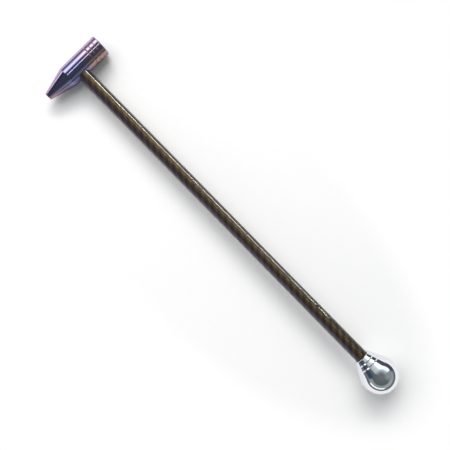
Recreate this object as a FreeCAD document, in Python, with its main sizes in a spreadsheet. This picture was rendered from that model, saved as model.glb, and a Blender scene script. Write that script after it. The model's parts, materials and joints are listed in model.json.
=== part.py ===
import FreeCAD, Part
import math
import os

import Sketcher

# A hammer for blending out dents in sheet metal, lying on its barrel and its ball knob.
# Lengths are millimetres. Every piece is a turned one and is drawn in the hammer's own frame: the eye,
# where the head's axis crosses the shaft's, is the origin, the shaft runs along +X, and the striking
# face looks along +Y. One placement then lays the hammer on the surface z = 0, over its box's middle.

doc = FreeCAD.newDocument("dent_repair_hammer")

# Driving dimensions
SIZES = [
    # Shaft
    ("tube_radius", 5.0, "outside of the woven tube"),
    ("weave_wall", 0.4, "wall of the woven outer ply"),
    ("core_wall", 0.6, "wall of the straight-fibre tube under it"),
    ("eye_to_ball", 310.3, "eye of the head to the centre of the ball"),
    ("tube_short_of_ball", 5.0, "end of the tube to the centre of the ball"),
    ("bond_gap", 0.05, "glue line round a bonded piece"),
    ("plug_length", 14.0, "plug inside the tube at the head"),
    ("insert_length", 16.0, "threaded insert inside the tube at the ball"),
    # Barrel of the head
    ("barrel_radius", 8.15, "barrel and tip"),
    ("joint_reach", 13.0, "eye to the barrel's end, where the tip is screwed on"),
    ("joint_edge", 0.3, "chamfer on both sides of that joint"),
    ("cone_reach", 9.5, "eye to the start of the cone"),
    ("nose_reach", 29.95, "eye to the flat nose"),
    ("nose_radius", 2.85, "cone at the nose"),
    ("nose_edge", 0.3, "rounding of the nose's edge"),
    ("socket_wall", 1.05, "least wall round the blind end of the shaft's socket"),
    ("bore_wall", 1.15, "wall between the tip's threaded bore and the shaft's socket"),
    # Striking tip with its stud and rubber ring
    ("tip_length", 11.5, "joint to the crown of the striking face"),
    ("face_crown", 0.8, "height of the crown"),
    ("rim_round", 0.8, "rounding of the face's rim"),
    ("ring_one_back", 8.25, "crown to the ring groove near the joint"),
    ("ring_two_back", 4.75, "crown to the ring groove near the face"),
    ("ring_width", 0.5, "width of the ring grooves"),
    ("ring_depth", 0.3, "depth of the ring grooves"),
    ("seat_gap", 0.03, "between faces that are screwed up tight"),
    ("thread_gap", 0.05, "round a stud in its thread"),
    ("stud_room", 0.3, "bottom of a blind bore past its stud"),
    ("stud_edge", 0.5, "chamfer on the ends of the studs"),
    ("tip_stud_radius", 3.0, "M6 stud"),
    ("tip_stud_fixed", 6.0, "length of the M6 stud locked into the tip"),
    ("o_ring_section", 0.575, "radius of the rubber ring's round section"),
    ("o_ring_room", 0.05, "round the rubber ring in its recess"),
    # Ball knob with its stud and washer
    ("ball_radius", 14.0, "ball"),
    ("neck_reach", 18.0, "centre of the ball to the front of the neck"),
    ("neck_wall", 1.35, "wall of the neck at its front"),
    ("neck_edge", 0.2, "chamfer on the neck's front"),
    ("groove_width", 0.9, "width of the neck's grooves"),
    ("groove_depth", 0.35, "depth of the neck's grooves"),
    ("slip_gap", 0.05, "round the tube in the knob's socket"),
    ("washer_wall", 1.0, "thickness of the washer"),
    ("washer_inset", 0.15, "rim of the washer inside the tube's outside"),
    ("knob_stud_radius", 2.5, "M5 stud"),
    ("knob_stud_fixed", 9.2, "length of the M5 stud locked into the ball"),
    ("knob_stud_free", 10.0, "length of the M5 stud in the insert"),
    # Cuts
    ("overrun", 2.0, "how far a cut runs out of the solid"),
]

# Where the neck's two grooves lie, from its front to where it touches the ball
GROOVE_SHARES = {"groove_one": 0.295, "groove_two": 0.58}


class Length:
    """A length: its present value, and the formula of the sheet's cells that sketches follow."""

    def __init__(self, value, formula):
        self.value = value
        self.formula = formula

    def joined(self, sign, other, value):
        return Length(value, f"({self.formula} {sign} {as_length(other).formula})")

    def __add__(self, other):
        return self.joined("+", other, self.value + as_length(other).value)

    def __sub__(self, other):
        return self.joined("-", other, self.value - as_length(other).value)

    def __mul__(self, other):
        return self.joined("*", other, self.value * as_length(other).value)

    def __truediv__(self, other):
        return self.joined("/", other, self.value / as_length(other).value)

    def __neg__(self):
        return Length(-self.value, f"(-1 * {self.formula})")

    def root(self):
        return Length(math.sqrt(self.value), f"sqrt({self.formula})")

    def arcsine(self):
        """In degrees, of a ratio of two lengths."""
        return Length(math.degrees(math.asin(self.value)), f"asin({self.formula})")


def as_length(number):
    return number if isinstance(number, Length) else Length(number, str(number))


def fill_sheet():
    """Write each driving dimension into the sheet, and hand them all back by name."""
    sheet = doc.addObject("Spreadsheet::Sheet", "Sizes")
    for row, (name, value, meaning) in enumerate(SIZES, start=1):
        sheet.set(f"A{row}", meaning)
        sheet.set(f"B{row}", str(value))
        sheet.setAlias(f"B{row}", name)
    doc.recompute()
    return {name: Length(value, f"Sizes.{name}") for name, value, _ in SIZES}


size = fill_sheet()
zero = as_length(0)

# The shaft's socket in the head, a flat-bottomed blind bore
socket_radius = size["tube_radius"] + size["bond_gap"]
inside_wall = size["barrel_radius"] - size["socket_wall"]
socket_past_eye = (inside_wall * inside_wall - socket_radius * socket_radius).root()

# Places along the shaft, from the eye
tube_start = size["bond_gap"] - socket_past_eye
tube_end = size["eye_to_ball"] - size["tube_short_of_ball"]
washer_start = tube_end + size["seat_gap"]
washer_end = washer_start + size["washer_wall"]
socket_floor = washer_end + size["seat_gap"]
neck_front = size["eye_to_ball"] - size["neck_reach"]

# Places along the head, from the eye
tip_start = size["joint_reach"] + size["seat_gap"]
face_reach = size["joint_reach"] + size["tip_length"]
rim_reach = face_reach - size["face_crown"]
tip_bore_floor = socket_radius + size["bore_wall"]

# Radii that one piece takes from another
core_radius = size["tube_radius"] - size["weave_wall"]
tube_bore_radius = core_radius - size["core_wall"]
plug_radius = tube_bore_radius - size["bond_gap"]
knob_thread_radius = size["knob_stud_radius"] + size["thread_gap"]
o_ring_radius = size["tip_stud_radius"] + size["thread_gap"] + size["o_ring_section"]
neck_front_radius = size["tube_radius"] + size["slip_gap"] + size["neck_wall"]


def origin_plane(body, role):
    return next(plane for plane in body.Origin.OriginFeatures if plane.Role == role)


def pin_point(sketch, side, end, x, y):
    """Hold one end of a sketch's side at x and y; a zero puts it on the axis itself."""
    for kind, length, axis in (("DistanceX", x, -2), ("DistanceY", y, -1)):
        if length is zero:
            sketch.addConstraint(Sketcher.Constraint("PointOnObject", side, end, axis))
        else:
            held = Sketcher.Constraint(kind, -1, 1, side, end, length.value)
            number = sketch.addConstraint(held)
            sketch.setExpression(f"Constraints[{number}]", length.formula)


def outline(body, name, corners, arc_from=None, arc_centre=None):
    """Draw a closed outline through corners, (x, y) pairs of lengths, on the body's XY plane.

    The side that leaves corner number arc_from is an anticlockwise arc about arc_centre, which lies
    on one of the sketch's axes. The others are straight.
    """
    sketch = body.newObject("Sketcher::SketchObject", name)
    sketch.AttachmentSupport = (origin_plane(body, "XY_Plane"), [""])
    sketch.MapMode = "FlatFace"
    points = [FreeCAD.Vector(x.value, y.value, 0) for x, y in corners]
    for number, point in enumerate(points):
        follower = points[(number + 1) % len(points)]
        if number == arc_from:
            centre = FreeCAD.Vector(arc_centre[0].value, arc_centre[1].value, 0)
            circle = Part.Circle(centre, FreeCAD.Vector(0, 0, 1), (point - centre).Length)
            side = Part.ArcOfCircle(circle, circle.parameter(point), circle.parameter(follower))
        else:
            side = Part.LineSegment(point, follower)
        sketch.addGeometry(side, False)
    for number, (x, y) in enumerate(corners):
        before = (number - 1) % len(corners)
        sketch.addConstraint(Sketcher.Constraint("Coincident", before, 2, number, 1))
        pin_point(sketch, number, 1, x, y)
    if arc_from is not None:
        axis = -1 if arc_centre[1] is zero else -2
        sketch.addConstraint(Sketcher.Constraint("PointOnObject", arc_from, 3, axis))
    return sketch


def turn(body, sketch, axis, feature="PartDesign::Revolution"):
    """Turn a sketch's outline through a full circle about the sketch's own axis."""
    doc.recompute()
    turned = body.newObject(feature, sketch.Name + "_turned")
    turned.Profile = sketch
    turned.ReferenceAxis = (sketch, [axis])
    turned.Angle = 360
    doc.recompute()
    return turned


def head_piece(label, corners, **arc):
    """Turn a piece about the head's axis; each corner is (radius, reach along the head)."""
    body = doc.addObject("PartDesign::Body", label)
    turn(body, outline(body, label + "_outline", corners, **arc), "V_Axis")
    return body


def shaft_piece(label, corners, **arc):
    """Turn a piece about the shaft's axis; each corner is (reach along the shaft, radius)."""
    body = doc.addObject("PartDesign::Body", label)
    turn(body, outline(body, label + "_outline", corners, **arc), "H_Axis")
    return body


def block(low, high, inside, outside):
    """Corners, as (reach, radius), of the rectangle that turns into a rod, a ring or a bore."""
    return [(low, inside), (high, inside), (high, outside), (low, outside)]


def stud(low, high, radius):
    """Corners, as (reach, radius), of a rod with a chamfer at each end."""
    edge = size["stud_edge"]
    shoulder = radius - edge
    return [
        (low, zero),
        (high, zero),
        (high, shoulder),
        (high - edge, radius),
        (low + edge, radius),
        (low, shoulder),
    ]


def swapped(corners):
    """The same corners for a piece on the head's axis, where the radius comes first."""
    return [(radius, reach) for reach, radius in corners]


def cut(body, name, corners, axis):
    """Turn an outline into a cut, and stop if it took nothing away."""
    before = body.Shape.Volume
    turn(body, outline(body, name, corners), axis, "PartDesign::Groove")
    if not body.Shape.Volume < before:
        raise RuntimeError(name + " cut nothing")


def round_edge(body, name, amount, radius, reach):
    """Round the circular edge of a head piece that has this radius and lies this far from the eye."""
    base = body.Tip
    edges = [
        f"Edge{number}"
        for number, edge in enumerate(base.Shape.Edges, start=1)
        if not edge.Degenerated
        and isinstance(edge.Curve, Part.Circle)
        and math.isclose(edge.Curve.Radius, radius.value, rel_tol=1e-6)
        and math.isclose(edge.Curve.Center.y, reach.value, rel_tol=1e-6)
    ]
    rounding = body.newObject("PartDesign::Fillet", name)
    rounding.Base = (base, edges)
    rounding.setExpression("Radius", amount.formula)
    doc.recompute()


def head_barrel():
    """Barrel and cone, with a blind socket for the shaft and a threaded bore for the tip."""
    end = size["joint_reach"]
    radius = size["barrel_radius"]
    edge = size["joint_edge"]
    nose = -size["nose_reach"]
    body = head_piece(
        "head_barrel",
        [
            (zero, nose),
            (size["nose_radius"], nose),
            (radius, -size["cone_reach"]),
            (radius, end - edge),
            (radius - edge, end),
            (zero, end),
        ],
    )
    round_edge(body, "nose_rounding", size["nose_edge"], size["nose_radius"], nose)
    socket = block(-socket_past_eye, radius + size["overrun"], zero, socket_radius)
    cut(body, "shaft_socket", socket, "H_Axis")
    thread_radius = size["tip_stud_radius"] + size["thread_gap"]
    thread = block(tip_bore_floor, end + size["overrun"], zero, thread_radius)
    cut(body, "tip_thread", swapped(thread), "V_Axis")
    around_ring = size["o_ring_section"] + size["o_ring_room"]
    recess = block(end - around_ring * 2, end + size["overrun"], zero, o_ring_radius + around_ring)
    cut(body, "o_ring_recess", swapped(recess), "V_Axis")
    return body


def striking_tip():
    """Screw-on end with a low crowned face, a rounded rim, two ring grooves and its stud's bore."""
    radius = size["barrel_radius"]
    crown = size["face_crown"]
    edge = size["joint_edge"]
    crown_radius = (radius * radius + crown * crown) / (crown * 2)
    body = head_piece(
        "striking_tip",
        [
            (zero, tip_start),
            (radius - edge, tip_start),
            (radius, tip_start + edge),
            (radius, rim_reach),
            (zero, face_reach),
        ],
        arc_from=3,
        arc_centre=(zero, face_reach - crown_radius),
    )
    round_edge(body, "rim_rounding", size["rim_round"], radius, rim_reach)
    for name in ("ring_one", "ring_two"):
        middle = face_reach - size[name + "_back"]
        half = size["ring_width"] / 2
        inside = radius - size["ring_depth"]
        groove = block(middle - half, middle + half, inside, radius + size["overrun"])
        cut(body, name, swapped(groove), "V_Axis")
    bore_floor = tip_start + size["tip_stud_fixed"] + size["stud_room"]
    bore = block(tip_start - size["overrun"], bore_floor, zero, size["tip_stud_radius"] + size["bond_gap"])
    cut(body, "tip_stud_bore", swapped(bore), "V_Axis")
    return body


def tip_stud():
    """Threaded stud, locked into the tip, that screws into the barrel."""
    low = tip_bore_floor + size["stud_room"]
    high = tip_start + size["tip_stud_fixed"]
    return head_piece("tip_stud", swapped(stud(low, high, size["tip_stud_radius"])))


def tip_o_ring():
    """Rubber ring round the stud, in the recess of the barrel's end."""
    body = doc.addObject("PartDesign::Body", "tip_o_ring")
    sketch = body.newObject("Sketcher::SketchObject", "o_ring_section_circle")
    sketch.AttachmentSupport = (origin_plane(body, "XY_Plane"), [""])
    sketch.MapMode = "FlatFace"
    section = size["o_ring_section"]
    reach = size["joint_reach"] - section - size["o_ring_room"]
    centre = FreeCAD.Vector(o_ring_radius.value, reach.value, 0)
    sketch.addGeometry(Part.Circle(centre, FreeCAD.Vector(0, 0, 1), section.value), False)
    pin_point(sketch, 0, 3, o_ring_radius, reach)
    number = sketch.addConstraint(Sketcher.Constraint("Radius", 0, section.value))
    sketch.setExpression(f"Constraints[{number}]", section.formula)
    turn(body, sketch, "V_Axis")
    return body


def shaft_weave():
    """Woven outer ply of the tube."""
    return shaft_piece("shaft_weave", block(tube_start, tube_end, core_radius, size["tube_radius"]))


def shaft_core():
    """Straight-fibre tube under the weave."""
    return shaft_piece("shaft_core", block(tube_start, tube_end, tube_bore_radius, core_radius))


def head_plug():
    """Solid plug that keeps the tube round where the head holds it."""
    rod = block(tube_start, tube_start + size["plug_length"], zero, plug_radius)
    return shaft_piece("head_plug", rod)


def knob_insert():
    """Threaded insert, flush with the tube's end."""
    walls = block(tube_end - size["insert_length"], tube_end, knob_thread_radius, plug_radius)
    return shaft_piece("knob_insert", walls)


def knob_stud():
    """Threaded stud, locked into the ball, that screws into the insert."""
    low = tube_end - size["knob_stud_free"]
    high = socket_floor + size["knob_stud_fixed"]
    return shaft_piece("knob_stud", stud(low, high, size["knob_stud_radius"]))


def knob_washer():
    """Washer between the tube's end and the floor of the knob's socket."""
    rim = size["tube_radius"] - size["washer_inset"]
    return shaft_piece("knob_washer", block(washer_start, washer_end, knob_thread_radius, rim))


def ball_knob():
    """Ball with a flared neck, two grooves round it, a socket for the tube and a bore for its stud.

    The neck's cone touches the ball: back is its radius there, and back_reach the place.
    """
    middle = size["eye_to_ball"]
    ball = size["ball_radius"]
    reach = size["neck_reach"]
    front = neck_front_radius
    edge = size["neck_edge"]
    span = reach * reach + front * front
    side = (span - ball * ball).root()
    back = ball * (ball * front + reach * side) / span
    back_reach = ball * (ball * reach - front * side) / span
    neck_length = reach - back_reach
    slope = (back - front) / neck_length
    body = shaft_piece(
        "ball_knob",
        [
            (neck_front, zero),
            (middle + ball, zero),
            (middle - back_reach, back),
            (neck_front + edge, front + slope * edge),
            (neck_front, front - edge),
        ],
        arc_from=1,
        arc_centre=(middle, zero),
    )
    for name, share in GROOVE_SHARES.items():
        from_front = neck_length * share
        surface = front + slope * from_front
        half = size["groove_width"] / 2
        low = neck_front + from_front - half
        high = neck_front + from_front + half
        groove = block(low, high, surface - size["groove_depth"], surface + size["overrun"])
        cut(body, name, groove, "H_Axis")
    socket = block(neck_front - size["overrun"], socket_floor, zero, size["tube_radius"] + size["slip_gap"])
    cut(body, "tube_socket", socket, "H_Axis")
    bore_floor = socket_floor + size["knob_stud_fixed"] + size["stud_room"]
    bore_radius = size["knob_stud_radius"] + size["bond_gap"]
    bore = block(socket_floor - size["overrun"], bore_floor, zero, bore_radius)
    cut(body, "knob_stud_bore", bore, "H_Axis")
    return body


# The thicker ball lifts the far end of the shaft, so the hammer lies at a small slope
lift = size["ball_radius"] - size["barrel_radius"]
slope_angle = (lift / size["eye_to_ball"]).arcsine()
level_span = (size["eye_to_ball"] * size["eye_to_ball"] - lift * lift).root()
eye_place = {
    "x": (level_span + lift) / -2,
    "y": (size["nose_reach"] - face_reach) / 2,
    "z": size["barrel_radius"],
}


def lay_down(body):
    """Give a piece the placement that all the pieces share."""
    lifted = FreeCAD.Rotation(FreeCAD.Vector(0, -1, 0), slope_angle.value)
    eye = FreeCAD.Vector(*(eye_place[axis].value for axis in "xyz"))
    body.Placement = FreeCAD.Placement(eye, lifted)
    for axis, place in eye_place.items():
        body.setExpression("Placement.Base." + axis, place.formula)
    body.setExpression("Placement.Rotation.Angle", slope_angle.formula)


MAKERS = (
    head_barrel,
    striking_tip,
    tip_stud,
    tip_o_ring,
    shaft_weave,
    shaft_core,
    head_plug,
    knob_insert,
    knob_stud,
    knob_washer,
    ball_knob,
)
pieces = []
for make in MAKERS:
    piece = make()
    lay_down(piece)
    pieces.append(piece)
doc.recompute()

for thing in doc.Objects:
    if "Invalid" in thing.State or "Error" in thing.State:
        raise RuntimeError(f"{thing.Label} failed: {thing.State}")
for piece in pieces:
    if piece.Shape.isNull() or not piece.Shape.isValid() or len(piece.Shape.Solids) != 1:
        raise RuntimeError(f"{piece.Label} isn't one valid solid")

os.makedirs("parts", exist_ok=True)
for piece in pieces:
    piece.Shape.exportStep(f"parts/{piece.Label}.step")
    print(f"{piece.Label:14s} {piece.Shape.Volume:9.2f} mm3")
print("eye at", [round(eye_place[axis].value, 4) for axis in "xyz"])
print(f"the shaft climbs {slope_angle.value:.5f} degrees")
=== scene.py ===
"""Dent repair hammer: heat-tinted turned head, lacquered carbon shaft and mirror-bright ball knob."""

import json
import math

import bpy
import numpy as np
from bpy.props import FloatProperty, FloatVectorProperty, IntProperty, PointerProperty
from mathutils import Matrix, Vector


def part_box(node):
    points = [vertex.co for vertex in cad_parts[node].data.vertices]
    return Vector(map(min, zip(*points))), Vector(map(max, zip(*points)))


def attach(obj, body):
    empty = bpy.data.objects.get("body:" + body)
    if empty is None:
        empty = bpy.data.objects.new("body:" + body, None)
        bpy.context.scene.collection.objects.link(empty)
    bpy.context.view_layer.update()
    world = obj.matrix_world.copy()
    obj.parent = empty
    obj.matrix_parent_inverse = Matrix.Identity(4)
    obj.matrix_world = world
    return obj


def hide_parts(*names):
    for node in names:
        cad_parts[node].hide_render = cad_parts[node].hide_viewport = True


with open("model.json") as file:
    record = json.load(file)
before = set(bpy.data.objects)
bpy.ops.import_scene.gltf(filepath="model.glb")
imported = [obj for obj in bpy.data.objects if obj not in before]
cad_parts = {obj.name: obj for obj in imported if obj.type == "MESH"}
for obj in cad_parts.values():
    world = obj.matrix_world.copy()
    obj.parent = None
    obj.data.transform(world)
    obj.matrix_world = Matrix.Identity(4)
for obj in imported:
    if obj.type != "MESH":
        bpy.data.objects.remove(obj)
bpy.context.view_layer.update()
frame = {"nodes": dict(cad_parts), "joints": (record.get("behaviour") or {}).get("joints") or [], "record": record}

bl_info = {
    "name": "Dent Repair Hammer",
    "version": (1, 0, 0),
    "blender": (4, 5, 0),
    "location": "View3D > Sidebar > Hammer",
    "description": "Dresses the hammer's solids with turned surfaces, heat tint, carbon weave and polish",
    "category": "Add Mesh",
}

MM = 0.001

# Rounding of edges that have no size of their own
SOFT_EDGE = 0.1 * MM
FINE_EDGE = 0.08 * MM

MOUNTS = {mount["name"]: mount for mount in frame["record"]["mounts"]}
JOINTS = {joint["name"]: joint for joint in frame["joints"]}

# The two axes and the places on them, in metres. The eye is where the head's axis crosses the shaft's.
HEAD_AXIS = np.array(MOUNTS["striking_face"]["axis"], float)
SHAFT_AXIS = np.array(JOINTS["knob_turn"]["axis"], float)
NOSE_CENTRE = np.array(MOUNTS["nose_flat"]["pos_m"])
FACE_CENTRE = np.array(MOUNTS["striking_face"]["pos_m"])
JOINT_CENTRE = np.array(JOINTS["tip_turn"]["pos_m"])
BALL_CENTRE = np.array(JOINTS["knob_turn"]["pos_m"])
EYE = np.array((NOSE_CENTRE[0], BALL_CENTRE[1], NOSE_CENTRE[2]))

NOSE_REACH = HEAD_AXIS @ (NOSE_CENTRE - EYE)
JOINT_REACH = HEAD_AXIS @ (JOINT_CENTRE - EYE)
FACE_REACH = HEAD_AXIS @ (FACE_CENTRE - EYE)
BALL_REACH = SHAFT_AXIS @ (BALL_CENTRE - EYE)
BARREL_RADIUS = MOUNTS["striking_face"]["dims"]["r_mm"] * MM
TUBE_RADIUS = MOUNTS["shaft_clip"]["dims"]["r_mm"] * MM
BALL_RADIUS = MOUNTS["ball_end"]["dims"]["r_mm"] * MM
TIP_PITCH = 1.0 * MM
KNOB_PITCH = 0.8 * MM


def linear(code):
    """Linear red, green, blue and alpha of an sRGB hex colour."""
    srgb = np.array([int(code[place : place + 2], 16) for place in (1, 3, 5)]) / 255
    low = srgb / 12.92
    high = ((srgb + 0.055) / 1.055) ** 2.4
    return (*np.where(srgb <= 0.04045, low, high).tolist(), 1.0)


# Properties


def length(name, description, millimetres):
    """Property for a length, with its default in millimetres."""
    return FloatProperty(name=name, description=description, default=millimetres * MM, unit="LENGTH")


def paint(name, description, code):
    """Property for a colour, with its default as an sRGB hex code."""
    return FloatVectorProperty(
        name=name, description=description, default=linear(code), subtype="COLOR", size=4
    )


class HeadSizes(bpy.types.PropertyGroup):
    """Turned head with its screw-on striking tip."""

    cone_reach: length("Cone start", "Eye to the start of the cone", 9.5)
    cone_blend: length("Cone blend", "Rounding where the cone leaves the barrel", 5.0)
    nose_radius: length("Nose", "Radius of the cone at its flat nose", 2.85)
    nose_edge: length("Nose edge", "Rounding of the nose's edge", 0.35)
    joint_edge: length("Joint edge", "Chamfer on both sides of the tip's joint", 0.3)
    joint_land: length("Joint land", "Length of the barrel's chamfer at the joint", 0.6)
    joint_gap: length("Joint gap", "Between the barrel's end and the tip", 0.03)
    socket_radius: length("Socket", "Radius of the blind socket for the shaft", 5.05)
    socket_depth: length("Socket depth", "Eye to the socket's floor, past the axis", 4.99)
    bore_radius: length("Stud bore", "Radius of the bores for the tip's stud", 3.05)
    bore_floor: length("Bore floor", "Eye to the floor of the barrel's bore", 6.2)
    recess_radius: length("Recess", "Radius of the recess for the rubber ring", 4.25)
    recess_depth: length("Recess depth", "Depth of the recess for the rubber ring", 1.25)
    tip_bore_depth: length("Tip bore", "Depth of the stud's bore in the tip", 6.3)
    crown: length("Crown", "Height of the striking face's crown", 0.8)
    rim_round: length("Rim", "Rounding of the striking face's rim", 0.8)
    ring_one_back: length("First ring", "Crown to the ring groove near the joint", 8.25)
    ring_two_back: length("Second ring", "Crown to the ring groove near the face", 4.75)
    ring_width: length("Ring width", "Width of the ring grooves", 0.65)
    ring_depth: length("Ring depth", "Depth of the ring grooves", 0.3)
    ring_floor: FloatProperty(name="Ring floor", description="Floor's place in its width", default=0.8)


class ShaftSizes(bpy.types.PropertyGroup):
    """Woven carbon tube and the two threaded studs."""

    tube_start: length("Tube start", "Eye to the tube's end in the head, past the axis", 4.94)
    tube_short: length("Tube end", "Tube's end to the centre of the ball", 5.0)
    weave_wall: length("Weave wall", "Wall of the woven outer ply", 0.4)
    tows_round: IntProperty(name="Tows round", description="Lengthwise tows side by side", default=20)
    tow_length: length("Tow width", "Width of the tows that run round the tube", 1.66)
    tip_stud: length("Tip stud", "Radius of its thread", 3.0)
    knob_stud: length("Knob stud", "Radius of its thread", 2.5)
    stud_edge: length("Stud chamfer", "Chamfer on the ends of the studs", 0.5)


class KnobSizes(bpy.types.PropertyGroup):
    """Ball knob with its flared neck."""

    neck_reach: length("Neck front", "Centre of the ball to the front of the neck", 18.0)
    neck_front: length("Neck radius", "Neck at its front", 6.4)
    neck_edge: length("Neck edge", "Chamfer on the neck's front", 0.2)
    groove_one: length("Front groove", "Centre of the ball to the front groove", 14.6)
    groove_two: length("Back groove", "Centre of the ball to the back groove", 11.32)
    groove_width: length("Groove width", "Width of the neck's two grooves", 0.9)
    groove_depth: length("Groove depth", "Depth of the neck's two grooves", 0.35)
    groove_floor: FloatProperty(name="Groove floor", description="Floor's place in its width", default=0.25)
    socket_radius: length("Socket", "Radius of the socket for the tube", 5.05)
    socket_floor: length("Socket floor", "Floor of the socket to the centre of the ball", 3.94)
    bore_radius: length("Stud bore", "Radius of the bore for the stud", 2.55)
    bore_depth: length("Stud bore depth", "Socket's floor to the bore's floor", 9.5)


class Finishes(bpy.types.PropertyGroup):
    """Colours of the pieces that show."""

    tint_middle: paint("Tint, middle", "Blue-violet heat tint of the barrel", "#8886AF")
    tint_nose: paint("Tint, nose", "Purple heat tint of the nose", "#A287A6")
    tint_tip: paint("Tint, tip", "Pale mauve heat tint of the tip", "#A08EA2")
    tint_side: paint("Tint, far side", "Mauve heat tint of the side away from the shaft", "#C8B8CE")
    tint_bronze: paint("Tint, bronze", "Bronze heat tint, shaft's side of the tip", "#A28981")
    # Painted shade: the cone's side towards the shaft is darker where it faces the table in the head's shadow.
    tint_cone_side_painted_shade: paint("Tint, cone's side", "Grey-violet heat tint, shaft's side of the cone", "#756C85")
    tint_nose_side: paint("Tint, nose's side", "Pink-brown heat tint, shaft's side of the nose", "#A98D97")
    tint_edge: paint("Tint, edges", "Mauve of the tint where the eye meets it at a low angle", "#E6CCE0")
    # Round the shaft the tows' colours are painted light: gold and brown just past the top are painted sheen,
    # purple-black on the nose's side and dark brown on the striking face's side are painted shade.
    weft_painted_sheen: paint("Gold tows", "Olive-gold of round tows, just past the top", "#7C6A40")
    weft: paint("Round tows", "Purple-black of round tows on the nose's side", "#4E3F50")
    warp_painted_sheen: paint("Brown tows", "Brown of lengthwise tows, just past the top", "#57452F")
    warp: paint("Lengthwise tows", "Purple-black of lengthwise tows on the nose's side", "#46384A")
    weft_painted_shade_far: paint("Round tows, face's side", "Brown of round tows on the striking face's side", "#2E271F")
    warp_painted_shade_far: paint("Lengthwise tows, face's side", "Dark brown of lengthwise tows on that side", "#26201C")
    polish: paint("Polished ball", "Mirror-polished aluminium", "#EDF0F4")
    buffed: paint("Buffing marks", "Polished aluminium where the buff left marks", "#E6E9ED")


class Studio(bpy.types.PropertyGroup):
    """White table, lamps, room and camera."""

    camera_height: length("Camera height", "Camera above the table", 462)
    camera_along: length("Camera along", "Camera's place along X", -1.65)
    camera_across: length("Camera across", "Camera's place along Y", -0.875)
    camera_turn: FloatProperty(
        name="Camera turn",
        description="Turn of the picture about the camera's axis",
        default=math.radians(45.52),
        subtype="ANGLE",
    )
    floor_radius: length("Table radius", "Round white table", 620)
    floor_shade: FloatProperty(name="Table", description="How much light the table gives back", default=0.99)
    floor_glow: FloatProperty(name="Table glow", description="Brightness that no shadow takes", default=0.02)
    soft_level: FloatProperty(name="Soft box", description="Brightness of the broad soft light", default=1.8)
    window_level: FloatProperty(name="Window", description="Brightness of the window", default=6.4)
    glow_level: FloatProperty(name="Head glow", description="Brightness of its wide lamp", default=0.85)
    panel_level: FloatProperty(name="Head panel", description="Brightness of the head's panel", default=1.87)
    strip_level: FloatProperty(name="Strip", description="Brightness of the strip over the head", default=4.5)
    sill_level: FloatProperty(name="Sill", description="Brightness of the window's low sill", default=125.0)


# Room round the hammer as the polished ball shows it. Bearings turn from the head's side (0) to the nose's
# side (90) and the striking face's side (-90), heights fall from straight up (0) to the table's level (90),
# all in degrees: where a patch starts and is full, where it starts to end and is over, both ways round.
ROOM_PATCHES = (
    ("side wall", (-178, -140, -95, -70), (10, 34, 56, 74), "#8E9498", 1.0),
    ("pale shelf", (152, 164, 200, 210), (54, 60, 68, 78), "#A2A8A8", 1.0),
    ("pale shelf, past the seam", (-220, -210, -165, -145), (54, 60, 68, 78), "#A2A8A8", 1.0),
    ("white wall, faint", (-104, -88, 6, 30), (14, 50, 70, 74), "#CCD6DE", 1.0),
    ("white wall", (-108, -96, 2, 20), (36, 54, 69, 72), "#F6FAFF", 1.25),
    ("window", (-62, -50, -24, -6), (47, 54, 57, 63), "#FFFBF2", 6.0),
    ("dark band under the wall", (-122, -108, -46, -34), (63, 69, 91, 95), "#4E4E5C", 1.0),
    ("curtain", (14, 26, 56, 72), (44, 56, 70, 80), "#3A465C", 1.0),
    ("foot of the wall", (10, 16, 34, 44), (66, 70, 78, 86), "#FFEEE6", 3.0),
    ("far window", (80, 90, 150, 162), (69, 72, 78, 81), "#F8FAFA", 1.3),
)


# Surfaces


def rounded(corners, step=0.25 * MM):
    """Path of a section through corners (along, radius, rounding).

    A rounded corner is an arc that touches both sides: its centre lies at right angles to the arriving side,
    at the rounding's distance from the point where the arc leaves that side. Runs are then divided until no
    stretch is longer than step.
    """
    corners = np.array(corners, float)
    runs = [corners[:1, :2]]
    for before, (along, radius, rounding), after in zip(corners[:-2, :2], corners[1:-1], corners[2:, :2]):
        here = np.array((along, radius))
        arrive = (here - before) / np.linalg.norm(here - before)
        leave = (after - here) / np.linalg.norm(after - here)
        turn = math.atan2(arrive[0] * leave[1] - arrive[1] * leave[0], arrive @ leave)
        start = here - arrive * rounding * math.tan(abs(turn) / 2)
        inward = np.array((-arrive[1], arrive[0])) * math.copysign(rounding, turn)
        swing = np.linspace(0, turn, 9 if rounding else 1)[:, None]
        runs.append(start + inward - inward * np.cos(swing) + arrive * rounding * np.sin(np.abs(swing)))
    path = np.concatenate([*runs, corners[-1:, :2]])
    lengths = np.linalg.norm(np.diff(path, axis=0), axis=1)
    counts = np.maximum(1, np.ceil(lengths / step)).astype(int)
    places = np.concatenate([[0], np.cumsum(1 / np.repeat(counts, counts))])
    return np.column_stack([np.interp(places, np.arange(len(path)), path[:, column]) for column in (0, 1)])


def groove(middle, surface, slope, width, depth, floor):
    """Corners of a ring groove with soft lips.

    Its mouth lies on the surface, and its floor at a share of its width, so that one flank is steep and the
    other wide enough to catch the light as a thin line.
    """
    reach = np.array((-0.5, floor - 0.5, 0.5)) * width
    return [(middle + r, surface + slope * r - s, SOFT_EDGE) for r, s in zip(reach, (0, depth, 0))]


def arc_corners(centre, lift, radius, start, end, count):
    """Corners, with no rounding, on an arc about (centre, lift), from angle start to angle end."""
    angles = np.linspace(start, end, count)
    arc = (centre + radius * np.cos(angles), lift + radius * np.sin(angles), np.zeros(count))
    return np.column_stack(arc).tolist()


def spokes(turns, axis, side):
    """Unit vectors at right angles to the axis, turned from side: side cos + (axis x side) sin."""
    return np.cos(turns)[..., None] * side + np.sin(turns)[..., None] * np.cross(axis, side)


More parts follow.
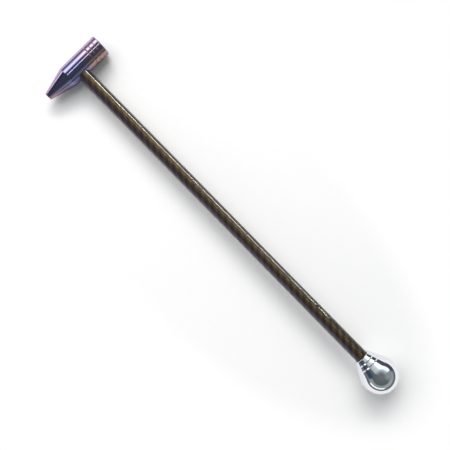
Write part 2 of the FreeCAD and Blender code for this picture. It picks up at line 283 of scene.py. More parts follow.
def thread(along, turns, pitch, radius, chamfer):
    """Radius of a right-hand screw thread.

    Along the axis it is a triangle wave, shifted by one pitch a turn and cut off so that crests and roots are
    flat. It is 0.61 of the pitch deep, and both ends run out in a cone.
    """
    phase = along[:, None] / pitch - turns / (2 * np.pi)
    wave = np.abs(2 * (phase % 1) - 1)
    flank = np.clip(1.3 * wave - 0.15, 0, 1)
    cone = radius - chamfer + np.minimum(along - along[0], along[-1] - along)
    return np.minimum(radius - 0.61 * pitch * flank, cone[:, None])


class Skin:
    """Surface of one piece, gathered grid by grid."""

    def __init__(self):
        self.points = np.empty((0, 3))
        self.quads = []
        self.maps = []

    def add(self, points):
        """Take a grid of points, and give back the grid of their numbers."""
        numbers = len(self.points) + np.arange(points[..., 0].size).reshape(points.shape[:-1])
        self.points = np.concatenate([self.points, points.reshape(-1, 3)])
        return numbers

    def turned(self, along, radius, axis, side, columns=192):
        """Add rows of rings about an axis through the eye.

        A point is eye + axis * along + spoke * radius. A row whose radius is zero is one point, a pole.
        """
        turns = np.arange(columns) * (2 * np.pi / columns)
        radius = np.broadcast_to(np.reshape(radius, (len(along), -1)), (len(along), columns))
        rings = EYE + along[:, None, None] * axis + radius[..., None] * spokes(turns, axis, side)
        numbers = self.add(rings)
        poles = np.all(radius < 1e-9, axis=1)
        numbers[poles] = numbers[poles, :1]
        return numbers

    def cover(self, numbers, maps=None, skip=None):
        """Make faces between neighbouring rows and columns, round to the first column, but none at skip."""
        numbers = np.column_stack([numbers, numbers[:, 0]])
        kept = np.ones((len(numbers) - 1, numbers.shape[1] - 1), bool) if skip is None else ~skip
        for grid, made in ((numbers, self.quads), (maps, self.maps)):
            if grid is not None:
                sides = np.stack([grid[:-1, :-1], grid[:-1, 1:], grid[1:, 1:], grid[1:, :-1]], axis=2)
                made.append(sides[kept])

    def piece(self, name, body, slot, material, replaced):
        """Make the object from the points that are used. Quads at a pole become triangles."""
        quads = np.concatenate(self.quads)
        starts = quads[:, 0] == quads[:, 1]
        ends = quads[:, 2] == quads[:, 3]
        triangles = np.concatenate([quads[starts][:, [0, 2, 3]], quads[ends][:, :3]])
        whole = quads[~(starts | ends)]
        used = np.zeros(len(self.points), bool)
        used[quads] = True
        kept = np.cumsum(used) - 1
        mesh = bpy.data.meshes.new(name)
        mesh.from_pydata(self.points[used].tolist(), [], kept[whole].tolist() + kept[triangles].tolist())
        mesh.polygons.foreach_set("use_smooth", np.ones(len(mesh.polygons), bool))
        if self.maps:
            layer = mesh.uv_layers.new(name="tows")
            layer.data.foreach_set("uv", np.concatenate(self.maps).ravel())
        mesh.materials.append(material)
        made = bpy.data.objects.new(name, mesh)
        bpy.context.scene.collection.objects.link(made)
        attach(made, body)
        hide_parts(replaced)


# Materials


def add(tree, kind, inputs=None, stops=(), **settings):
    """Add one node with its settings.

    Inputs take a value, a socket, or a node for its first output. Stops are a colour ramp's (place, colour).
    """
    node = tree.nodes.new(kind)
    for name, value in settings.items():
        setattr(node, name, value)
    if stops:
        elements = node.color_ramp.elements
        while len(elements) < len(stops):
            elements.new(0.5)
        for element, (place, colour) in zip(elements, stops):
            element.position = place
            element.color = colour
    for name, source in (inputs or {}).items():
        if isinstance(source, bpy.types.Node):
            source = source.outputs[0]
        if isinstance(source, bpy.types.NodeSocket):
            tree.links.new(source, node.inputs[name])
        else:
            node.inputs[name].default_value = source
    return node


def new_tree(name):
    """Empty material, its node tree and the socket for places on the piece."""
    material = bpy.data.materials.new(name)
    material.use_nodes = True
    tree = material.node_tree
    tree.nodes.clear()
    return material, tree, add(tree, "ShaderNodeTexCoord").outputs["Object"]


def heat_tinted_titanium(finishes):
    """Turned and polished titanium with a heat tint.

    Blue-violet on the barrel, purple at the nose, mauve on the tip and on the side away from the shaft. On
    the shaft's side the nose is pink-brown and the tip bronze; the cone's darker grey-violet there is painted
    shade, where it faces the table in the head's shadow. The striking face has one tint. Turning lines lie
    0.3 mm apart, coarser than the real ones so that they show.
    """
    material, tree, place = new_tree("heat_tinted_titanium")
    from_eye = add(tree, "ShaderNodeMapping", {"Vector": place, "Location": (-EYE).tolist()})
    axes = add(tree, "ShaderNodeSeparateXYZ", {"Vector": from_eye})
    drift = add(tree, "ShaderNodeTexNoise", {"Vector": from_eye, "Scale": 90.0, "Detail": 2.0})
    wandering = {0: drift, 1: 6 * MM, 2: axes.outputs["Y"]}
    wander = add(tree, "ShaderNodeMath", wandering, operation="MULTIPLY_ADD")
    reach = add(tree, "ShaderNodeMapRange", {"Value": wander, "From Min": NOSE_REACH, "From Max": FACE_REACH})
    top_stops = (
        (0.02, finishes.tint_nose),
        (0.22, finishes.tint_middle),
        (0.66, finishes.tint_middle),
        (0.82, finishes.tint_tip),
    )
    # On the shaft's side the cone's darker grey-violet is painted shade.
    side_stops = (
        (0.12, finishes.tint_nose_side),
        (0.27, finishes.tint_cone_side_painted_shade),
        (0.37, finishes.tint_cone_side_painted_shade),
        (0.44, finishes.tint_middle),
        (0.62, finishes.tint_middle),
        (0.81, finishes.tint_bronze),
    )
    tinted = add(tree, "ShaderNodeValToRGB", {"Fac": reach}, stops=top_stops)
    side_bands = add(tree, "ShaderNodeValToRGB", {"Fac": reach}, stops=side_stops)
    rim = {"Value": axes.outputs["Y"], "From Min": FACE_REACH - 1.2 * MM, "From Max": FACE_REACH - 2.2 * MM}
    behind_rim = add(tree, "ShaderNodeMapRange", rim, interpolation_type="SMOOTHSTEP")
    turn = add(tree, "ShaderNodeMath", {0: axes.outputs["X"], 1: axes.outputs["Z"]}, operation="ARCTAN2")
    for start, full, tint in ((22, 58, side_bands), (-24, -40, finishes.tint_side)):
        edge = {"Value": turn, "From Min": math.radians(start), "From Max": math.radians(full)}
        sector = add(tree, "ShaderNodeMapRange", edge, interpolation_type="SMOOTHSTEP")
        share = add(tree, "ShaderNodeMath", {0: sector, 1: behind_rim}, operation="MULTIPLY")
        blend = add(tree, "ShaderNodeMix", {"Factor": share, "A": tinted, "B": tint}, data_type="RGBA")
        tinted = blend.outputs[2]
    stretched = add(tree, "ShaderNodeMapping", {"Vector": from_eye, "Scale": (1, 3300, 1)})
    lines = add(tree, "ShaderNodeTexNoise", {"Vector": stretched, "Scale": 1.0})
    surface = {
        "Base Color": tinted,
        "Metallic": 1.0,
        "Roughness": add(tree, "ShaderNodeMapRange", {"Value": lines, "To Min": 0.06, "To Max": 0.14}),
        "Specular Tint": finishes.tint_edge,
        "Normal": add(tree, "ShaderNodeBump", {"Height": lines, "Strength": 0.05, "Distance": 0.01 * MM}),
    }
    add(tree, "ShaderNodeOutputMaterial", {"Surface": add(tree, "ShaderNodeBsdfPrincipled", surface)})
    return material


def lacquered_twill_carbon(finishes):
    """2 x 2 twill carbon cloth under a clear gloss lacquer.

    The map counts tows: U lengthwise ones round the tube, V round ones along it. A lengthwise tow lies on top
    for two crossings of four, one crossing further on each neighbour. A tow's height is the cosine of its
    wave along it, less 1.6 times the square of the place across it, and the higher of the two tows shows.
    Fibre streaks run along each tow and stretch its shine across it. Round the tube the colours are painted
    light: gold and brown tows just past the top are painted sheen, purple-black ones on the nose's side and
    dark brown ones on the striking face's side are painted shade, all under a lacquer that is smooth.
    """
    material, tree, place = new_tree("lacquered_twill_carbon")
    counted = add(tree, "ShaderNodeUVMap", uv_map="tows")
    tows = add(tree, "ShaderNodeSeparateXYZ", {"Vector": counted})
    across, along = tows.outputs["X"], tows.outputs["Y"]
    column = add(tree, "ShaderNodeMath", {0: across}, operation="FLOOR")
    row = add(tree, "ShaderNodeMath", {0: along}, operation="FLOOR")
    heights = []
    for ahead, back, shift, other in ((column, along, 0.0, across), (across, row, 3.0, along)):
        lag = add(tree, "ShaderNodeMath", {0: ahead, 1: back}, operation="SUBTRACT")
        centred = add(tree, "ShaderNodeMath", {0: lag, 1: shift}, operation="SUBTRACT")
        angle = add(tree, "ShaderNodeMath", {0: centred, 1: math.pi / 2}, operation="MULTIPLY")
        wave = add(tree, "ShaderNodeMath", {0: angle}, operation="COSINE")
        crossing = add(tree, "ShaderNodeMath", {0: other}, operation="FRACT")
        middle = add(tree, "ShaderNodeMath", {0: crossing, 1: 0.5}, operation="SUBTRACT")
        square = add(tree, "ShaderNodeMath", {0: middle, 1: middle}, operation="MULTIPLY")
        heights.append(add(tree, "ShaderNodeMath", {0: square, 1: -1.6, 2: wave}, operation="MULTIPLY_ADD"))
    warp_height, weft_height = heights
    weft_shows = add(tree, "ShaderNodeMath", {0: weft_height, 1: warp_height}, operation="GREATER_THAN")
    height = add(tree, "ShaderNodeMath", {0: weft_height, 1: warp_height}, operation="MAXIMUM")
    from_eye = add(tree, "ShaderNodeMapping", {"Vector": place, "Location": (-EYE).tolist()})
    sideways = add(tree, "ShaderNodeSeparateXYZ", {"Vector": from_eye}).outputs["Y"]
    # Painted sheen and shade: the tows' colours follow the place across the tube, from the nose's side to the
    # striking face's side.
    width = {"Value": sideways, "From Min": -TUBE_RADIUS, "From Max": TUBE_RADIUS}
    painted_light_across = add(tree, "ShaderNodeMapRange", width)
    warp_stops = ((0.17, finishes.warp), (0.6, finishes.warp_painted_sheen), (0.74, finishes.warp_painted_shade_far))
    weft_stops = (
        (0.17, finishes.weft),
        (0.55, finishes.weft_painted_sheen),
        (0.62, finishes.weft_painted_sheen),
        (0.74, finishes.weft_painted_shade_far),
    )
    warp = add(tree, "ShaderNodeValToRGB", {"Fac": painted_light_across}, stops=warp_stops)
    weft = add(tree, "ShaderNodeValToRGB", {"Fac": painted_light_across}, stops=weft_stops)
    colour = add(tree, "ShaderNodeMix", {"Factor": weft_shows, "A": warp, "B": weft}, data_type="RGBA")
    streaks = []
    for scale in ((22.0, 1.2, 1.0), (1.2, 22.0, 1.0)):
        stretched = add(tree, "ShaderNodeMapping", {"Vector": counted, "Scale": scale})
        streaks.append(add(tree, "ShaderNodeTexNoise", {"Vector": stretched, "Scale": 1.0, "Detail": 2.0}))
    streak = add(tree, "ShaderNodeMix", {"Factor": weft_shows, 2: streaks[0], 3: streaks[1]})
    contrast = {"Value": streak, "From Min": 0.3, "From Max": 0.7, "To Min": 0.75, "To Max": 1.25}
    shade = add(tree, "ShaderNodeMapRange", contrast)
    shaded = {0: colour.outputs[2], "Scale": shade}
    surface = {
        "Base Color": add(tree, "ShaderNodeVectorMath", shaded, operation="SCALE"),
        "Metallic": 0.9,
        "Roughness": 0.35,
        "Anisotropic": 1.0,
        "Anisotropic Rotation": add(tree, "ShaderNodeMath", {0: weft_shows, 1: 0.25}, operation="MULTIPLY"),
        "Tangent": add(tree, "ShaderNodeTangent", direction_type="UV_MAP", uv_map="tows"),
        "Normal": add(tree, "ShaderNodeBump", {"Height": height, "Strength": 1.0, "Distance": 0.05 * MM}),
        "Coat Weight": 1.0,
        "Coat Normal": add(tree, "ShaderNodeNewGeometry").outputs["Normal"],
        "Coat Roughness": 0.03,
    }
    add(tree, "ShaderNodeOutputMaterial", {"Surface": add(tree, "ShaderNodeBsdfPrincipled", surface)})
    return material


def patterned(name, kind, pattern, stops, surface, roughness=None, stretch=None, relief=None):
    """Material that takes its colour, and where given its roughness and relief, from one pattern.

    Pattern and surface hold inputs of the texture and of the shader, and stops the colours. Roughness is a
    range, stretch the pattern's scale along the three axes, and relief a strength and a depth.
    """
    material, tree, place = new_tree(name)
    if stretch:
        place = add(tree, "ShaderNodeMapping", {"Vector": place, "Scale": stretch})
    texture = add(tree, kind, {"Vector": place, **pattern})
    colour = add(tree, "ShaderNodeValToRGB", {"Fac": texture}, stops=stops)
    surface = {**surface, "Base Color": colour}
    if roughness:
        spread = {"Value": texture, "To Min": roughness[0], "To Max": roughness[1]}
        surface["Roughness"] = add(tree, "ShaderNodeMapRange", spread)
    if relief:
        height = {"Height": texture, "Strength": relief[0], "Distance": relief[1]}
        surface["Normal"] = add(tree, "ShaderNodeBump", height)
    add(tree, "ShaderNodeOutputMaterial", {"Surface": add(tree, "ShaderNodeBsdfPrincipled", surface)})
    return material


def mirror_aluminium(finishes):
    """Aluminium turned and buffed to a mirror: nearly no roughness, with faint buffing marks."""
    marks = {"Scale": 260.0, "Detail": 4.0}
    stops = ((0.0, finishes.polish), (1.0, finishes.buffed))
    return patterned("mirror_aluminium", "ShaderNodeTexNoise", marks, stops, {"Metallic": 1.0}, (0.015, 0.05))


def machined_steel():
    """Rolled thread of a steel stud, bright zinc-plated: pale grey with a fine mottle."""
    grain = {"Scale": 1200.0, "Detail": 3.0}
    stops = ((0.3, linear("#9A9B9E")), (0.7, linear("#B9BABD")))
    return patterned("machined_steel", "ShaderNodeTexNoise", grain, stops, {"Metallic": 1.0}, (0.22, 0.4))


def turned_aluminium():
    """Turned aluminium: light grey with lathe lines 0.4 mm apart, coarser than the real ones."""
    lines = {"Scale": 800.0, "Distortion": 1.5, "Detail": 2.0}
    stops = ((0.0, linear("#B4B7BB")), (1.0, linear("#CFD2D6")))
    return patterned("turned_aluminium", "ShaderNodeTexWave", lines, stops, {"Metallic": 1.0}, (0.25, 0.4))


def moulded_rubber():
    """Moulded nitrile rubber: near black, dull, with a fine mottle."""
    mottle = {"Scale": 2500.0}
    stops = ((0.3, linear("#1A1A1B")), (0.7, linear("#262628")))
    relief = (0.2, 0.02 * MM)
    dull = {"Roughness": 0.65}
    return patterned("moulded_rubber", "ShaderNodeTexNoise", mottle, stops, dull, relief=relief)


def turned_nylon():
    """Washer of natural nylon: cream, slightly waxy, with faint clouding."""
    cloud = {"Scale": 400.0}
    stops = ((0.3, linear("#DAD6C8")), (0.7, linear("#E6E2D6")))
    waxy = {"Roughness": 0.45, "Subsurface Weight": 0.1}
    return patterned("turned_nylon", "ShaderNodeTexNoise", cloud, stops, waxy)


def straight_fibre_carbon():
    """Pulled carbon tube: charcoal with fibre streaks along the shaft."""
    fibres = {"Scale": 1.0, "Detail": 3.0}
    stops = ((0.35, linear("#1B1B1C")), (0.65, linear("#343436")))
    stretch = (40, 3000, 3000)
    dull = {"Roughness": 0.5}
    return patterned("straight_fibre_carbon", "ShaderNodeTexNoise", fibres, stops, dull, stretch=stretch)


# Operators


class HAMMER_OT_head_barrel(bpy.types.Operator):
    """Barrel and cone of the head, with the shaft's socket and the tip's bore"""

    bl_idname = "hammer.head_barrel"
    bl_label = "Head barrel"

    def execute(self, context):
        sizes = context.scene.hammer_head
        radius = BARREL_RADIUS
        recess_floor = JOINT_REACH - sizes.recess_depth
        path = rounded(
            [
                (NOSE_REACH, 0, 0),
                (NOSE_REACH, sizes.nose_radius, sizes.nose_edge),
                (-sizes.cone_reach, radius, sizes.cone_blend),
                (JOINT_REACH - sizes.joint_land, radius, SOFT_EDGE),
                (JOINT_REACH, radius - sizes.joint_edge, SOFT_EDGE),
                (JOINT_REACH, sizes.recess_radius, SOFT_EDGE),
                (recess_floor, sizes.recess_radius, SOFT_EDGE),
                (recess_floor, sizes.bore_radius, SOFT_EDGE),
                (sizes.bore_floor, sizes.bore_radius, SOFT_EDGE),
                (sizes.bore_floor, 0, 0),
            ]
        )
        along, outline = path.T
        skin = Skin()
        numbers = skin.turned(along, outline, HEAD_AXIS, SHAFT_AXIS)

        # The opening for the socket, in reach and in turns to each side of the shaft's axis
        opening_reach, opening_turns = 7.5 * MM, 1 / 6
        columns = numbers.shape[1]
        half = round(columns * opening_turns)
        outside = np.isclose(outline, radius, atol=1e-9)
        opening = np.flatnonzero(outside & (np.abs(along) < opening_reach))
        first, last = opening[0], opening[-1]
        rows, turns = np.meshgrid(np.arange(len(along) - 1), np.arange(columns), indexing="ij")
        beside = (turns < half) | (turns >= columns - half)
        skin.cover(numbers, skip=beside & (rows >= first) & (rows < last))
        self.socket(sizes, skin, numbers, along, first, last, half)
        material = heat_tinted_titanium(context.scene.hammer_finishes)
        skin.piece("head_barrel_surface", "root", "tinted_metal", material, "head_barrel")
        return {"FINISHED"}

    def socket(self, sizes, skin, numbers, along, first, last, half):
        """Fill the opening in the barrel's side with a surface that runs into the shaft's socket.

        Unrolled, the opening is a rectangle and the socket's rim is the curve reach = r cos a,
        turn = asin(r sin a / R). Thirteen rings lie between the two, closer towards the rim, then come eleven
        rings of the socket's wall and the point in the middle of its floor.
        """
        columns = numbers.shape[1]
        low, high = np.arange(-half, half), np.arange(first, last)
        rows = np.concatenate([np.full(2 * half, first), high, np.full(2 * half, last), high[::-1] + 1])
        turns = np.concatenate([low, np.full(last - first, half), -low, np.full(last - first, -half)])
        border = np.column_stack([along[rows], turns * (2 * np.pi / columns)])
        angles = np.arctan2(border[:, 1] * BARREL_RADIUS, border[:, 0])
        reach = sizes.socket_radius * np.cos(angles)
        height = sizes.socket_radius * np.sin(angles)
        rim = np.column_stack([reach, np.arcsin(height / BARREL_RADIUS)])
        share = np.linspace(1, 0, 14)[1:, None, None] ** 2
        flat = rim + (border - rim) * share
        across = spokes(flat[..., 1], HEAD_AXIS, SHAFT_AXIS) * BARREL_RADIUS
        rings = skin.add(EYE + flat[..., :1] * HEAD_AXIS + across)
        depth = np.linspace(0, 1, 12)[1:, None] ** 2
        mouth = np.sqrt(BARREL_RADIUS**2 - height**2)
        inward = mouth + (-sizes.socket_depth - mouth) * depth
        third = np.cross(HEAD_AXIS, SHAFT_AXIS)
        wall = EYE + inward[..., None] * SHAFT_AXIS + (reach[:, None] * HEAD_AXIS + height[:, None] * third)
        walls = skin.add(wall)
        pole = skin.add((EYE - sizes.socket_depth * SHAFT_AXIS)[None])
        floor = np.full((1, len(border)), pole[0])
        skin.cover(np.concatenate([numbers[rows, turns % columns][None], rings, walls, floor]))


class HAMMER_OT_striking_tip(bpy.types.Operator):
    """Screw-on striking tip with its crowned face and two ring grooves"""

    bl_idname = "hammer.striking_tip"
    bl_label = "Striking tip"

    def execute(self, context):
        sizes = context.scene.hammer_head
        start = JOINT_REACH + sizes.joint_gap
        floor = start + sizes.tip_bore_depth
        crown = sizes.crown
        ring = (sizes.ring_width, sizes.ring_depth, sizes.ring_floor)
        face_radius = (BARREL_RADIUS**2 + crown**2) / (2 * crown)
        face_centre = FACE_REACH - face_radius
        rim_centre = BARREL_RADIUS - sizes.rim_round
        rim_angle = math.asin(rim_centre / (face_radius - sizes.rim_round))
        rim_along = face_centre + (face_radius - sizes.rim_round) * math.cos(rim_angle)
        path = rounded(
            [
                (floor, 0, 0),
                (floor, sizes.bore_radius, SOFT_EDGE),
                (start, sizes.bore_radius, SOFT_EDGE),
                (start, BARREL_RADIUS - sizes.joint_edge, SOFT_EDGE),
                (start + sizes.joint_edge, BARREL_RADIUS, SOFT_EDGE),
                *groove(FACE_REACH - sizes.ring_one_back, BARREL_RADIUS, 0, *ring),
                *groove(FACE_REACH - sizes.ring_two_back, BARREL_RADIUS, 0, *ring),
                *arc_corners(rim_along, rim_centre, sizes.rim_round, math.pi / 2, rim_angle, 12),
                *arc_corners(face_centre, 0, face_radius, rim_angle, 0, 30)[1:],
            ]
        )
        skin = Skin()
        skin.cover(skin.turned(*path.T, HEAD_AXIS, SHAFT_AXIS))
        material = bpy.data.materials["heat_tinted_titanium"]
        skin.piece("striking_tip_surface", "tip", "tinted_metal", material, "striking_tip")
        return {"FINISHED"}


class HAMMER_OT_studs(bpy.types.Operator):
    """Threaded studs of the tip and of the knob"""

    bl_idname = "hammer.studs"
    bl_label = "Threaded studs"

    def execute(self, context):
        sizes = context.scene.hammer_shaft
        steel = machined_steel()
        studs = (
            ("tip_stud", "tip", HEAD_AXIS, SHAFT_AXIS, TIP_PITCH, sizes.tip_stud),
            ("knob_stud", "knob", SHAFT_AXIS, HEAD_AXIS, KNOB_PITCH, sizes.knob_stud),
        )
        columns, rows_a_turn = 64, 16
        for node, body, axis, side, pitch, radius in studs:
            corners = np.array(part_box(node))
            middle = axis @ (corners.mean(axis=0) - EYE)
            half = self.half_length(corners[1] - corners[0], axis, radius)
            rows = np.arange(0, 2 * half, pitch / rows_a_turn)
            along = middle - half + np.append(rows, 2 * half)
            turns = np.arange(columns) * (2 * np.pi / columns)
            closed = np.pad(thread(along, turns, pitch, radius, sizes.stud_edge), ((1, 1), (0, 0)))
            skin = Skin()
            skin.cover(skin.turned(np.pad(along, 1, mode="edge"), closed, axis, side, columns))
            skin.piece(node + "_thread", body, "stud_steel", steel, node)
        return {"FINISHED"}

    @staticmethod
    def half_length(extent, axis, radius):
        """Half the length of a rod from its box: the widest extent, less what its slope adds."""
        widest = int(np.argmax(extent))
        lean = math.sqrt(1 - axis[widest] ** 2)
        return (extent[widest] / 2 - radius * lean) / axis[widest]


class HAMMER_OT_shaft(bpy.types.Operator):
    """Woven carbon tube"""

    bl_idname = "hammer.shaft"
    bl_label = "Woven shaft"

    def execute(self, context):
        sizes = context.scene.hammer_shaft
        inside = TUBE_RADIUS - sizes.weave_wall
        start, end = -sizes.tube_start, BALL_REACH - sizes.tube_short
        path = rounded(
            [
                (end, inside, 0),
                (start, inside, 0),
                (start, TUBE_RADIUS, FINE_EDGE),
                (end, TUBE_RADIUS, FINE_EDGE),
                (end, inside, 0),
            ],
            step=2.0 * MM,
        )
        along, outline = path.T
        skin = Skin()
        columns = 120
        numbers = skin.turned(along, outline, SHAFT_AXIS, HEAD_AXIS, columns)

        # The section is closed, so its last ring is the first one again
        numbers[-1] = numbers[0]
        round_tows = np.linspace(0, sizes.tows_round, columns + 1)
        maps = np.stack(np.broadcast_arrays(round_tows, (along / sizes.tow_length)[:, None]), axis=-1)
        skin.cover(numbers, maps=maps)
        material = lacquered_twill_carbon(context.scene.hammer_finishes)
        skin.piece("shaft_weave_surface", "root", "woven_carbon", material, "shaft_weave")
        return {"FINISHED"}


class HAMMER_OT_ball_knob(bpy.types.Operator):
    """Ball knob with its flared neck, whose cone touches the ball"""

    bl_idname = "hammer.ball_knob"
    bl_label = "Ball knob"

    def execute(self, context):
        sizes = context.scene.hammer_knob
        floor = BALL_REACH - sizes.socket_floor
        front, neck_front = sizes.neck_reach, sizes.neck_front

        # The line from the neck's front touches the ball's circle at (meets, flare), both from its centre
        span = front**2 + neck_front**2
        side = math.sqrt(span - BALL_RADIUS**2)
        meets = BALL_RADIUS * (BALL_RADIUS * front - side * neck_front) / span
        flare = BALL_RADIUS * (BALL_RADIUS * neck_front + side * front) / span
        slope = (flare - neck_front) / (front - meets)
        grooves = [
            corner
            for reach in (sizes.groove_one, sizes.groove_two)
            for corner in groove(
                BALL_REACH - reach,
                neck_front + slope * (front - reach),
                slope,
                sizes.groove_width,
                sizes.groove_depth,
                sizes.groove_floor,
            )
        ]
        ball = arc_corners(BALL_REACH, 0, BALL_RADIUS, math.acos(-meets / BALL_RADIUS), 0, 160)
        mouth = BALL_REACH - front
        path = rounded(
            [
                (floor + sizes.bore_depth, 0, 0),
                (floor + sizes.bore_depth, sizes.bore_radius, SOFT_EDGE),
                (floor, sizes.bore_radius, SOFT_EDGE),
                (floor, sizes.socket_radius, SOFT_EDGE),
                (mouth, sizes.socket_radius, SOFT_EDGE),
                (mouth, neck_front - sizes.neck_edge, FINE_EDGE),
                (mouth + sizes.neck_edge, neck_front + slope * sizes.neck_edge, FINE_EDGE),
                *grooves,
                *ball,
            ]
        )
        skin = Skin()
        skin.cover(skin.turned(*path.T, SHAFT_AXIS, HEAD_AXIS))
        material = mirror_aluminium(context.scene.hammer_finishes)
        skin.piece("ball_knob_surface", "knob", "mirror_knob", material, "ball_knob")
        return {"FINISHED"}


class HAMMER_OT_inner_pieces(bpy.types.Operator):
    """Finishes of the pieces that keep their solids: rubber ring, plug, insert, washer and inner tube"""

    bl_idname = "hammer.inner_pieces"
    bl_label = "Inner pieces"

    def execute(self, context):
        aluminium = turned_aluminium()
        worn = {
            "tip_o_ring": moulded_rubber(),
            "head_plug": aluminium,
            "knob_insert": aluminium,
            "knob_washer": turned_nylon(),
            "shaft_core": straight_fibre_carbon(),
        }
        for node, material in worn.items():
            for slot in frame["nodes"][node].material_slots:
                slot.material = material
        return {"FINISHED"}


class HAMMER_OT_studio(bpy.types.Operator):
    """White table, window light, room and camera"""

    bl_idname = "hammer.studio"
    bl_label = "Studio"

    def execute(self, context):
        scene = context.scene
        studio = scene.hammer_studio
        self.table(studio)
        self.lamps(studio)
        self.room(scene)
        camera = bpy.data.cameras.new("camera")
        camera.lens = 50
        camera.sensor_width = 36
        camera.clip_start = 0.01
        holder = bpy.data.objects.new("camera", camera)
        holder.location = (studio.camera_along, studio.camera_across, studio.camera_height)
        holder.rotation_euler = (0, 0, studio.camera_turn)
        scene.collection.objects.link(holder)
        scene.camera = holder
        scene.view_settings.view_transform = "Standard"
        return {"FINISHED"}

    @staticmethod
    def table(studio):
        """Round white table: matt along the hammer, where it takes the shadow, and pure white further out.

        The matt part is an oval along the hammer, 0.42 times as wide as it is long. Beside its middle it ends
        at 72 mm and has gone over to white at 90 mm.
        """
        sides = 96
        turns = np.linspace(0, 2 * np.pi, sides + 1)[:-1]
        rim = np.column_stack([np.cos(turns), np.sin(turns), np.zeros(sides)]) * studio.floor_radius
        mesh = bpy.data.meshes.new("table")
        mesh.from_pydata(rim.tolist(), [], [tuple(range(sides))])
        table = bpy.data.objects.new("table", mesh)
        bpy.context.scene.collection.objects.link(table)
        material, tree, place = new_tree("white_table")
        narrowed = add(tree, "ShaderNodeMapping", {"Vector": place, "Scale": (0.42, 1.0, 1.0)})
        distance = add(tree, "ShaderNodeVectorMath", {0: narrowed}, operation="LENGTH").outputs["Value"]
        oval = {"Value": distance, "From Min": 72 * MM, "From Max": 90 * MM}
        outward = add(tree, "ShaderNodeMapRange", oval, interpolation_type="SMOOTHSTEP")
        glowing = {"Value": outward, "To Min": studio.floor_glow, "To Max": 1.0}
        level = add(tree, "ShaderNodeMapRange", glowing)
        rays = add(tree, "ShaderNodeLightPath").outputs
        seen = rays["Is Camera Ray"]
        for kind in ("Is Glossy Ray", "Is Transmission Ray"):
            seen = add(tree, "ShaderNodeMath", {0: seen, 1: rays[kind]}, operation="MAXIMUM")
        strength = add(tree, "ShaderNodeMath", {0: seen, 1: level}, operation="MULTIPLY")
        glow = add(tree, "ShaderNodeEmission", {"Color": linear("#FFFFFF"), "Strength": strength})
        fading = {"Value": outward, "To Min": studio.floor_shade, "To Max": 0.0}
        fade = add(tree, "ShaderNodeMapRange", fading)
        tone = add(tree, "ShaderNodeCombineColor", {0: fade, 1: fade, 2: fade})
        matt = add(tree, "ShaderNodeBsdfDiffuse", {"Color": tone})
        both = add(tree, "ShaderNodeAddShader", {0: matt, 1: glow})
        add(tree, "ShaderNodeOutputMaterial", {"Surface": both})
        mesh.materials.append(material)

    @staticmethod
    def lamps(studio):
        """Soft light and window that throw the shadow, and small lamps that each light one part.

        Each faces its aim from a bearing and a height, in degrees as for the room, and a distance. Its size
        is (up, sideways), and its power is brightness * pi * area. A lamp with pieces named lights only these
        and shows in them. The others light everything, and metal shows the room in their place. The sill's
        strip stands on the striking face's side and faces a place beside the hammer.
        """
        middle = np.zeros(3)
        head = EYE + 13 * MM * HEAD_AXIS
        beside = np.array((1.211, 1.263, 0))
        metal = ("head_barrel_surface", "striking_tip_surface")
        woven = ("shaft_weave_surface",)
        lamps = (
            ("soft_box", middle, 0, 38, 1.4, (1.2, 1.8), studio.soft_level, "#FFFCFA", ()),
            ("window", middle, -42, 53, 3.5, (0.72, 2.6), studio.window_level, "#FFFCFA", ()),
            ("head_glow", head, 0, 41.5, 0.45, (0.235, 0.16), studio.glow_level, "#FFF4F6", metal),
            ("head_panel", head, 0, 44, 0.44, (0.155, 0.15), studio.panel_level, "#FFF6F0", metal),
            ("head_strip", head, 0, 3, 0.2, (0.015, 0.064), studio.strip_level, "#F8F6FF", metal),
            ("sill_strip", beside, -45, 65.7, 1.935, (0.07, 2.3), studio.sill_level, "#FFF7E6", woven),
        )
        for name, aim, bearing, height, distance, (up, sideways), level, tone, pieces in lamps:
            turn, lean = math.radians(bearing), math.radians(height)
            outward = math.sin(lean)
            away = np.array((-outward * math.cos(turn), -outward * math.sin(turn), math.cos(lean)))
            lamp = bpy.data.lights.new(name, "AREA")
            lamp.shape = "RECTANGLE"
            lamp.size = up
            lamp.size_y = sideways
            lamp.energy = level * math.pi * up * sideways
            lamp.color = linear(tone)[:3]
            holder = bpy.data.objects.new(name, lamp)
            holder.location = aim + away * distance
            holder.rotation_euler = (0, -lean, turn)
            holder.visible_camera = False
            holder.visible_diffuse = not pieces
            holder.visible_glossy = bool(pieces)
            if pieces:
                lit = bpy.data.collections.new(name + "_lights")
                for piece in pieces:
                    lit.objects.link(bpy.data.objects[piece])
                holder.light_linking.receiver_collection = lit
            bpy.context.scene.collection.objects.link(holder)

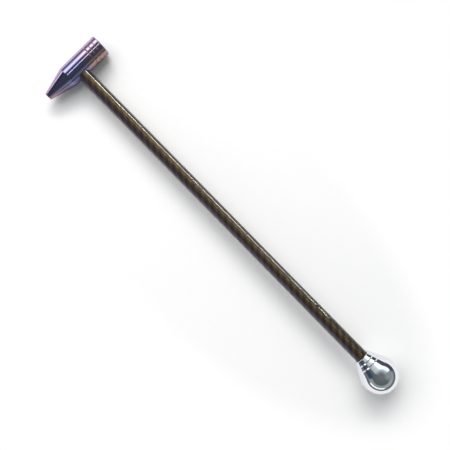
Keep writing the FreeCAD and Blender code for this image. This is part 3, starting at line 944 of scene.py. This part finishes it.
    @staticmethod
    def room(scene):
        """World: the camera sees a white backdrop, and the metal a dim room with white and dark patches.

        The bare room is a run of greys from straight up (0.0) to the table's level (0.9) and below it.
        """
        world = bpy.data.worlds.new("room")
        world.use_nodes = True
        tree = world.node_tree
        tree.nodes.clear()
        direction = add(tree, "ShaderNodeTexCoord").outputs["Generated"]
        behind = add(tree, "ShaderNodeVectorMath", {0: direction, "Scale": -1.0}, operation="SCALE")
        axes = add(tree, "ShaderNodeSeparateXYZ", {"Vector": behind}).outputs
        turn = add(tree, "ShaderNodeMath", {0: axes["Y"], 1: axes["X"]}, operation="ARCTAN2")
        bearing = add(tree, "ShaderNodeMath", {0: turn}, operation="DEGREES")
        lean = add(tree, "ShaderNodeMath", {0: axes["Z"]}, operation="ARCCOSINE")
        below = add(tree, "ShaderNodeMath", {0: lean}, operation="DEGREES")
        height = add(tree, "ShaderNodeMath", {0: 180.0, 1: below}, operation="SUBTRACT")
        share = add(tree, "ShaderNodeMath", {0: height, 1: 100.0}, operation="DIVIDE")
        greys = (
            (0.0, linear("#74767B")),
            (0.28, linear("#666B6C")),
            (0.48, linear("#5A6462")),
            (0.60, linear("#98A6A5")),
            (0.70, linear("#9EA9A8")),
            (0.82, linear("#68656F")),
            (0.95, linear("#6A6772")),
        )
        shown = add(tree, "ShaderNodeValToRGB", {"Fac": share}, stops=greys)
        for name, bearings, heights, tone, level in ROOM_PATCHES:
            mask = 1.0
            for place, (low, full, fall, over) in ((bearing, bearings), (height, heights)):
                for start, end, before, after in ((low, full, 0.0, 1.0), (fall, over, 1.0, 0.0)):
                    ends = {"From Min": start, "From Max": end, "To Min": before, "To Max": after}
                    edge = {"Value": place, **ends}
                    side = add(tree, "ShaderNodeMapRange", edge, interpolation_type="SMOOTHSTEP")
                    mask = add(tree, "ShaderNodeMath", {0: side, 1: mask}, operation="MULTIPLY")
            bright = (*(level * part for part in linear(tone)[:3]), 1.0)
            patch = {"Factor": mask, "A": shown, "B": bright}
            shown = add(tree, "ShaderNodeMix", patch, data_type="RGBA", label=name).outputs[2]
        rays = add(tree, "ShaderNodeLightPath").outputs
        through = {0: rays["Is Camera Ray"], 1: rays["Is Transmission Ray"]}
        seen = add(tree, "ShaderNodeMath", through, operation="MAXIMUM")
        white = {"Factor": seen, "A": shown, "B": linear("#FFFFFF")}
        backdrop = add(tree, "ShaderNodeMix", white, data_type="RGBA").outputs[2]
        background = add(tree, "ShaderNodeBackground", {"Color": backdrop, "Strength": 1.0})
        add(tree, "ShaderNodeOutputWorld", {"Surface": background})
        scene.world = world


class HAMMER_PT_panel(bpy.types.Panel):
    """Sizes, colours and the pieces' operators"""

    bl_idname = "HAMMER_PT_panel"
    bl_label = "Dent repair hammer"
    bl_space_type = "VIEW_3D"
    bl_region_type = "UI"
    bl_category = "Hammer"

    def draw(self, context):
        for holder, group in GROUPS.items():
            box = self.layout.box()
            for name in group.__annotations__:
                box.prop(getattr(context.scene, holder), name)
        for operator in OPERATORS:
            self.layout.operator(operator.bl_idname)


GROUPS = {
    "hammer_head": HeadSizes,
    "hammer_shaft": ShaftSizes,
    "hammer_knob": KnobSizes,
    "hammer_finishes": Finishes,
    "hammer_studio": Studio,
}
OPERATORS = (
    HAMMER_OT_head_barrel,
    HAMMER_OT_striking_tip,
    HAMMER_OT_studs,
    HAMMER_OT_shaft,
    HAMMER_OT_ball_knob,
    HAMMER_OT_inner_pieces,
    HAMMER_OT_studio,
)
CLASSES = (*GROUPS.values(), *OPERATORS, HAMMER_PT_panel)


def register():
    for made in CLASSES:
        bpy.utils.register_class(made)
    for holder, group in GROUPS.items():
        setattr(bpy.types.Scene, holder, PointerProperty(type=group))


def unregister():
    for holder in GROUPS:
        delattr(bpy.types.Scene, holder)
    for made in reversed(CLASSES):
        bpy.utils.unregister_class(made)


def main():
    register()
    for operator in OPERATORS:
        family, name = operator.bl_idname.split(".")
        getattr(getattr(bpy.ops, family), name)()


if __name__ == "__main__":
    main()
